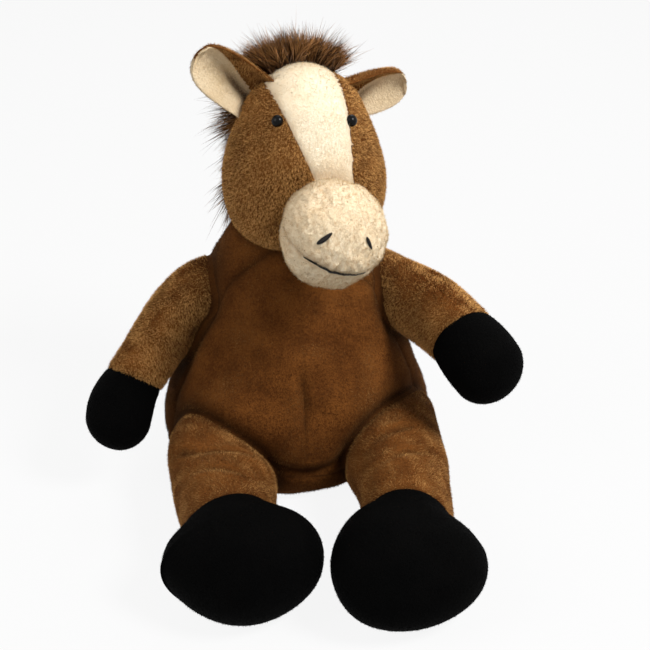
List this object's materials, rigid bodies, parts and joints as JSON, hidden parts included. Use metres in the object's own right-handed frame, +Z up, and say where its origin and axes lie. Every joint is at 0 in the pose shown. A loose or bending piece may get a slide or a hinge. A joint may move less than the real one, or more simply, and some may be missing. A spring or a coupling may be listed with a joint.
{
  "type": "plush horse",
  "caption": "Seated stuffed toy horse with a brown pile body, cream blaze and muzzle, black hooves, mane and tail, and jointed head, ears, arms and legs.",
  "frame": {"origin": "middle of the flat seat, on the surface that the horse sits on", "axes": "+Z up, -Y the way that the torso and legs point, +X to the horse's own left"},
  "size_m": [0.2818, 0.3272, 0.2964],
  "materials": {
    "fur": "short brown pile",
    "cream": "short cream pile",
    "fleece": "cream fleece",
    "lining": "smooth cream cloth",
    "hoof": "short black pile",
    "mane": "long dark brown pile",
    "filling": "white fibre filling",
    "pellets": "woven bag of pellets",
    "eye": "gloss black",
    "washer": "white",
    "thread": "dark brown thread"
  },
  "bodies": {
    "torso": {"seat_panel": "fur", "left_belly_panel": "fur", "right_belly_panel": "fur", "left_back_panel": "fur", "right_back_panel": "fur", "torso_filling": "filling", "seat_pellet_bag": "pellets"},
    "head": {"back_of_head_panel": "fur", "left_cheek_panel": "fur", "right_cheek_panel": "fur", "blaze_panel": "cream", "muzzle_panel": "fleece", "chin_panel": "fleece", "forelock": "mane", "mane": "mane", "head_filling": "filling", "muzzle_filling": "filling", "right_eye": "eye", "left_eye": "eye", "right_eye_washer": "washer", "left_eye_washer": "washer", "right_nostril_stitch": "thread", "left_nostril_stitch": "thread", "mouth_stitch": "thread"},
    "right_ear": {"right_ear_back": "fur", "right_ear_lining": "lining"},
    "left_ear": {"left_ear_back": "fur", "left_ear_lining": "lining"},
    "right_arm": {"right_arm_front_panel": "fur", "right_arm_back_panel": "fur", "right_arm_hoof": "hoof", "right_arm_filling": "filling"},
    "left_arm": {"left_arm_front_panel": "fur", "left_arm_back_panel": "fur", "left_arm_hoof": "hoof", "left_arm_filling": "filling"},
    "right_leg": {"right_leg_top_panel": "fur", "right_leg_under_panel": "fur", "right_leg_hoof": "hoof", "right_leg_filling": "filling"},
    "left_leg": {"left_leg_top_panel": "fur", "left_leg_under_panel": "fur", "left_leg_hoof": "hoof", "left_leg_filling": "filling"},
    "tail": {"tail": "mane"}
  },
  "joints": [
    {"name": "head_turn", "type": "hinge", "parent": "torso", "child": "head", "pos_m": [0, -0.006, 0.168], "axis": [0, 0, 1], "range_deg": [-30, 30], "stiffness_Nm_per_rad": 1},
    {"name": "right_ear_flop", "type": "hinge", "parent": "head", "child": "right_ear", "pos_m": [-0.02724, -0.0077, 0.26122], "axis": [0.5887, 0.1251, 0.7986], "range_deg": [-20, 20], "stiffness_Nm_per_rad": 0.1},
    {"name": "left_ear_flop", "type": "hinge", "parent": "head", "child": "left_ear", "pos_m": [0.02558, 0.00353, 0.25296], "axis": [0.0048, 0.4331, -0.9013], "range_deg": [-20, 20], "stiffness_Nm_per_rad": 0.1},
    {"name": "right_arm_swing", "type": "hinge", "parent": "torso", "child": "right_arm", "pos_m": [-0.05, 0, 0.123], "axis": [-1, 0, 0], "range_deg": [-25, 45], "stiffness_Nm_per_rad": 2},
    {"name": "left_arm_swing", "type": "hinge", "parent": "torso", "child": "left_arm", "pos_m": [0.05, 0, 0.123], "axis": [-1, 0, 0], "range_deg": [-25, 45], "stiffness_Nm_per_rad": 2},
    {"name": "right_leg_splay", "type": "hinge", "parent": "torso", "child": "right_leg", "pos_m": [-0.054, -0.034, 0.033], "axis": [0, 0, -1], "range_deg": [0, 30], "stiffness_Nm_per_rad": 2},
    {"name": "left_leg_splay", "type": "hinge", "parent": "torso", "child": "left_leg", "pos_m": [0.054, -0.034, 0.033], "axis": [0, 0, 1], "range_deg": [0, 30], "stiffness_Nm_per_rad": 2},
    {"name": "tail_wag", "type": "hinge", "parent": "torso", "child": "tail", "pos_m": [0, 0.058, 0.046], "axis": [0, 0, 1], "range_deg": [-30, 30], "stiffness_Nm_per_rad": 0.1}
  ]
}
